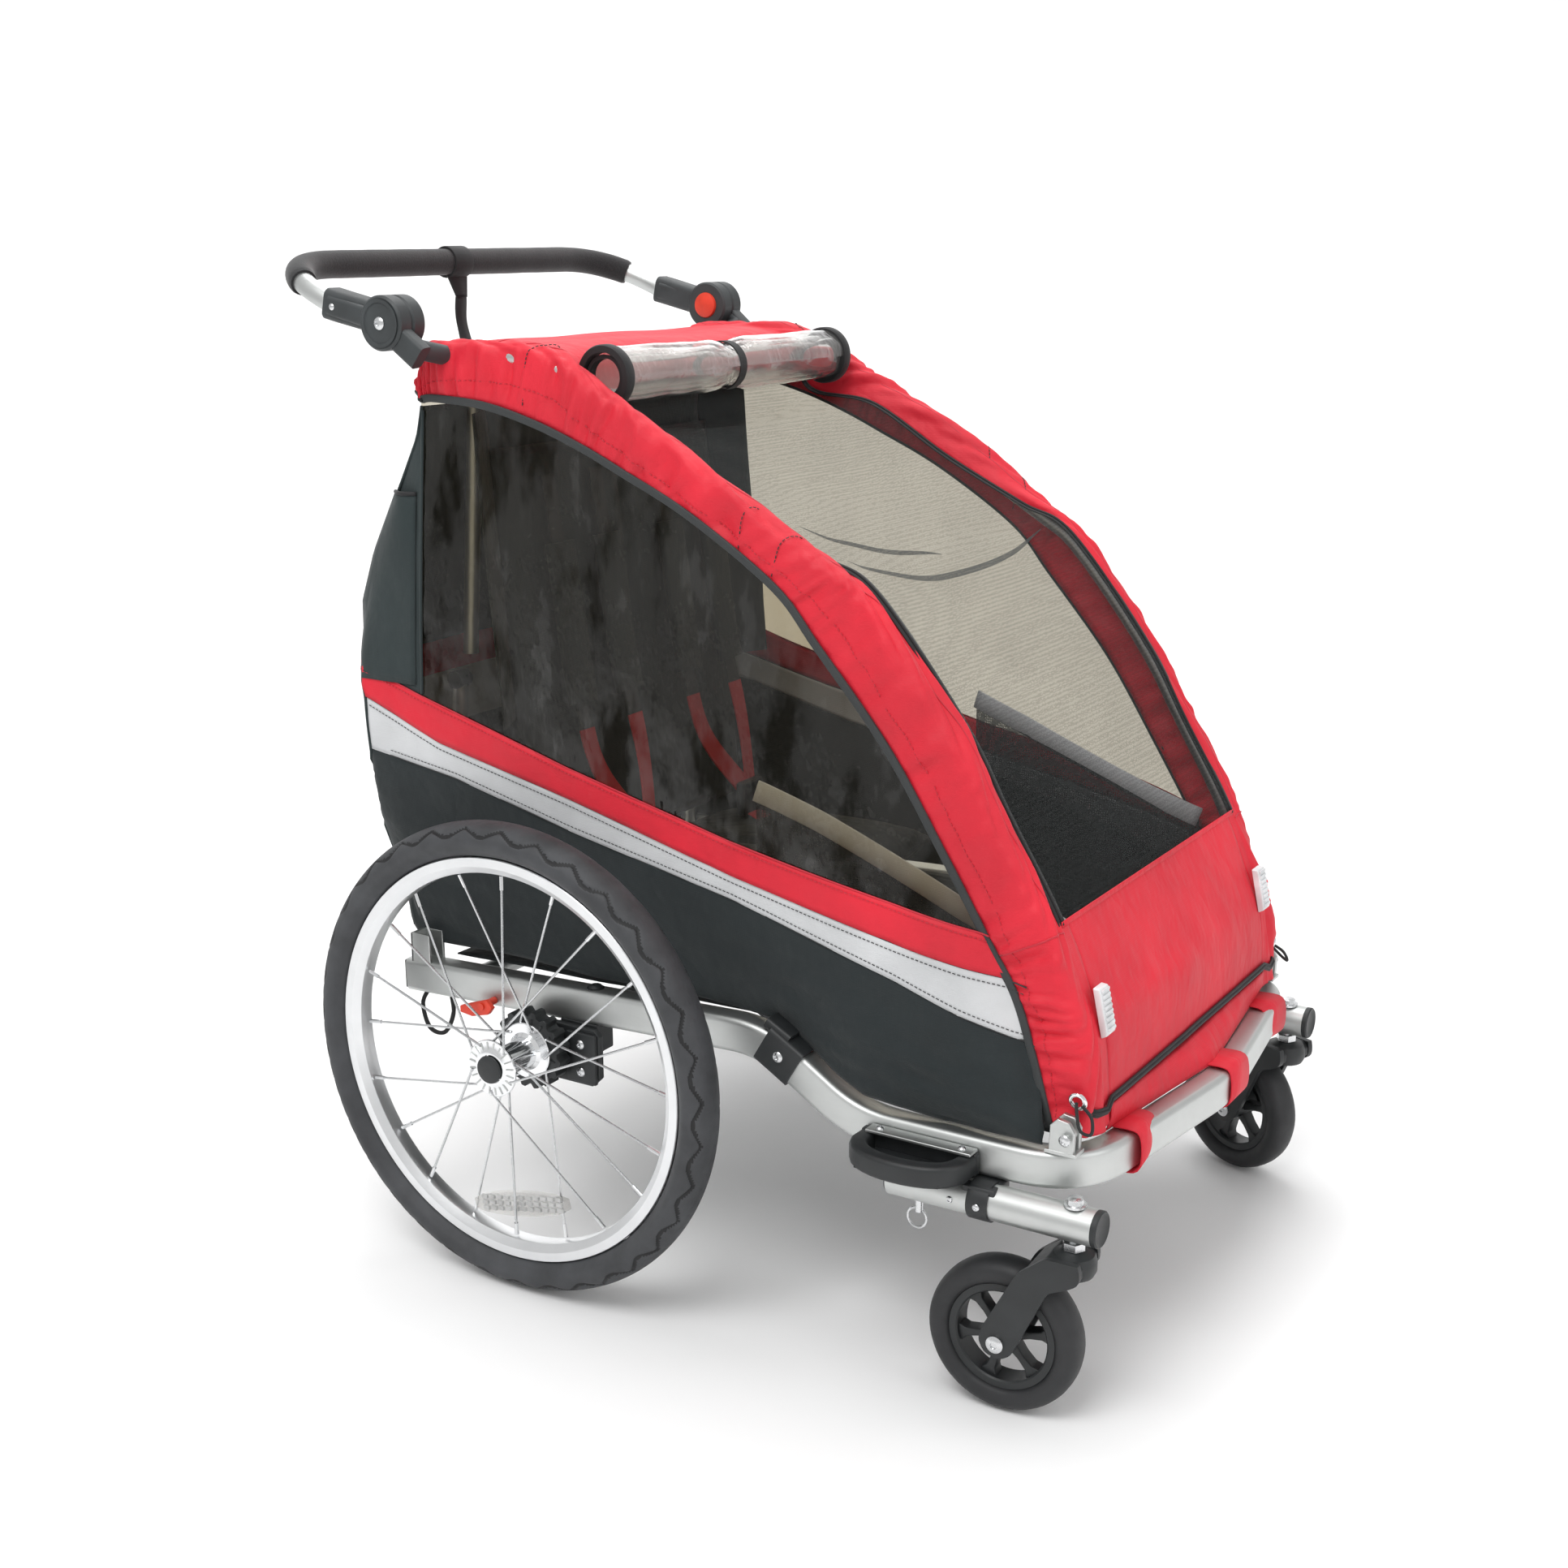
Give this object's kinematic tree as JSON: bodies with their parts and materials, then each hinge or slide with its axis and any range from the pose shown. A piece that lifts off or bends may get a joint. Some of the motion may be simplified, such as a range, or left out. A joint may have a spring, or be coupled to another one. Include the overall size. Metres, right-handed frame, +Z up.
{
  "type": "child bicycle trailer",
  "caption": "Enclosed child trailer cabin on a bent rail frame with spoked wheels, swivelling front casters, a mesh front screen and a tilting push handlebar; the cabin folds flat.",
  "frame": {"origin": "centre of the footprint of the whole part, on the floor", "axes": "+X the way it travels, +Y to its left, +Z up"},
  "size_m": [0.9755, 0.762, 1.0391],
  "materials": {
    "silver_alloy": "satin anodised",
    "steel": "zinc plated",
    "black_plastic": "moulded, fine grain",
    "red_plastic": "satin moulded",
    "tyre_rubber": "matt rubber",
    "foam_grip": "closed-cell foam",
    "red_fabric": "coated nylon weave",
    "black_fabric": "polyester weave",
    "mesh_fabric": "open knitted mesh",
    "window_film": "smoked flexible film",
    "clear_film": "clear flexible film"
  },
  "bodies": {
    "chassis": {"chassis_frame": "silver_alloy", "rear_cross_tube": "silver_alloy", "front_cross_tube": "silver_alloy", "axle_tube": "silver_alloy", "floor_panel": "black_fabric", "seat_base": "black_fabric", "seat_back": "black_fabric", "rear_panel": "black_fabric", "front_panel": "red_fabric", "axle_bracket_right": "black_plastic", "side_bumper_right": "black_plastic", "caster_arm_right": "silver_alloy", "caster_bolt_right": "steel", "hoop_pivot_right": "silver_alloy", "side_panel_right": "window_film", "axle_bracket_left": "black_plastic", "side_bumper_left": "black_plastic", "caster_arm_left": "silver_alloy", "caster_bolt_left": "steel", "hoop_pivot_left": "silver_alloy", "side_panel_left": "window_film"},
    "cage": {"roof_bar_rear": "silver_alloy", "roof_bar_front": "silver_alloy", "hood": "red_fabric", "screen": "mesh_fabric", "rain_cover": "clear_film", "cabin_hoop_right": "silver_alloy", "handle_bracket_right": "black_plastic", "cabin_hoop_left": "silver_alloy", "handle_bracket_left": "black_plastic"},
    "rear_legs": {"rear_leg_right": "silver_alloy", "rear_leg_left": "silver_alloy"},
    "rear_upper": {"rear_frame_upper": "silver_alloy"},
    "handle": {"handlebar": "silver_alloy", "handle_grip": "foam_grip", "handle_strap": "black_fabric", "handle_joint_right": "black_plastic", "handle_joint_left": "black_plastic"},
    "handle_button_right": {"handle_button_right": "red_plastic"},
    "handle_button_left": {"handle_button_left": "red_plastic"},
    "wheel_right": {"tyre_right": "tyre_rubber", "rim_right": "silver_alloy", "hub_right": "silver_alloy", "brake_cog_right": "black_plastic"},
    "axle_button_right": {"axle_button_right": "black_plastic"},
    "wheel_left": {"tyre_left": "tyre_rubber", "rim_left": "silver_alloy", "hub_left": "silver_alloy", "brake_cog_left": "black_plastic"},
    "axle_button_left": {"axle_button_left": "black_plastic"},
    "fork_right": {"caster_fork_right": "black_plastic"},
    "caster_right": {"caster_wheel_right": "black_plastic", "caster_tyre_right": "tyre_rubber"},
    "fork_left": {"caster_fork_left": "black_plastic"},
    "caster_left": {"caster_wheel_left": "black_plastic", "caster_tyre_left": "tyre_rubber"},
    "brake_lever_right": {"brake_lever_right": "red_plastic"},
    "release_pin_right": {"release_pin_right": "steel"},
    "brake_lever_left": {"brake_lever_left": "red_plastic"},
    "release_pin_left": {"release_pin_left": "steel"}
  },
  "joints": [
    {"name": "cabin_fold", "type": "hinge", "parent": "chassis", "child": "cage", "pos_m": [0.43, 0, 0.27], "axis": [0, 1, 0], "range_deg": [-36, 0], "deforming": ["seat_back", "rear_panel"]},
    {"name": "rear_leg_fold", "type": "hinge", "parent": "chassis", "child": "rear_legs", "pos_m": [-0.325, 0, 0.318], "axis": [0, 1, 0], "range_deg": [0, 84.5], "deforming": ["seat_back", "rear_panel"]},
    {"name": "rear_upper_fold", "type": "hinge", "parent": "cage", "child": "rear_upper", "pos_m": [-0.286, 0, 0.893], "axis": [0, 1, 0], "range_deg": [-52.5, 0], "deforming": ["seat_back", "rear_panel"]},
    {"name": "handle_tilt", "type": "hinge", "parent": "cage", "child": "handle", "pos_m": [-0.31, 0, 0.971], "axis": [0, 1, 0], "range_deg": [-50, 75], "deforming": ["handle_strap"]},
    {"name": "handle_button_right_press", "type": "slide", "parent": "handle", "child": "handle_button_right", "axis": [0, -1, 0], "range_m": [0, 0.0035], "stiffness_N_per_m": 400},
    {"name": "handle_button_left_press", "type": "slide", "parent": "handle", "child": "handle_button_left", "axis": [0, 1, 0], "range_m": [0, 0.0035], "stiffness_N_per_m": 400},
    {"name": "wheel_right_spin", "type": "hinge", "parent": "chassis", "child": "wheel_right", "pos_m": [-0.15, -0.343, 0.248], "axis": [0, 1, 0], "continuous": true},
    {"name": "axle_button_right_press", "type": "slide", "parent": "wheel_right", "child": "axle_button_right", "axis": [0, 1, 0], "range_m": [0, 0.0024], "stiffness_N_per_m": 400},
    {"name": "wheel_left_spin", "type": "hinge", "parent": "chassis", "child": "wheel_left", "pos_m": [-0.15, 0.343, 0.248], "axis": [0, 1, 0], "continuous": true},
    {"name": "axle_button_left_press", "type": "slide", "parent": "wheel_left", "child": "axle_button_left", "axis": [0, -1, 0], "range_m": [0, 0.0024], "stiffness_N_per_m": 400},
    {"name": "caster_right_swivel", "type": "hinge", "parent": "chassis", "child": "fork_right", "pos_m": [0.447, -0.289, 0.17], "axis": [0, 0, 1], "continuous": true},
    {"name": "caster_right_spin", "type": "hinge", "parent": "fork_right", "child": "caster_right", "pos_m": [0.38419, -0.29229, 0.0748], "axis": [-0.0523, 0.9986, 0], "continuous": true},
    {"name": "caster_left_swivel", "type": "hinge", "parent": "chassis", "child": "fork_left", "pos_m": [0.447, 0.289, 0.17], "axis": [0, 0, 1], "continuous": true},
    {"name": "caster_left_spin", "type": "hinge", "parent": "fork_left", "child": "caster_left", "pos_m": [0.38868, 0.31256, 0.0748], "axis": [0.3746, 0.9272, 0], "continuous": true},
    {"name": "brake_lever_right_turn", "type": "hinge", "parent": "chassis", "child": "brake_lever_right", "pos_m": [-0.222, -0.299, 0.276], "axis": [0, 1, 0], "range_deg": [0, 24]},
    {"name": "release_pin_right_pull", "type": "slide", "parent": "chassis", "child": "release_pin_right", "axis": [0, 0, -1], "range_m": [0, 0.01], "stiffness_N_per_m": 300},
    {"name": "brake_lever_left_turn", "type": "hinge", "parent": "chassis", "child": "brake_lever_left", "pos_m": [-0.222, 0.299, 0.276], "axis": [0, 1, 0], "range_deg": [0, 24]},
    {"name": "release_pin_left_pull", "type": "slide", "parent": "chassis", "child": "release_pin_left", "axis": [0, 0, -1], "range_m": [0, 0.01], "stiffness_N_per_m": 300}
  ],
  "couplings": [
    {"joint": "rear_leg_fold", "follows": "cabin_fold", "ratio": -2.3333},
    {"joint": "rear_upper_fold", "follows": "cabin_fold", "ratio": 1.45},
    {"joint": "brake_lever_left_turn", "follows": "brake_lever_right_turn", "ratio": 1}
  ]
}
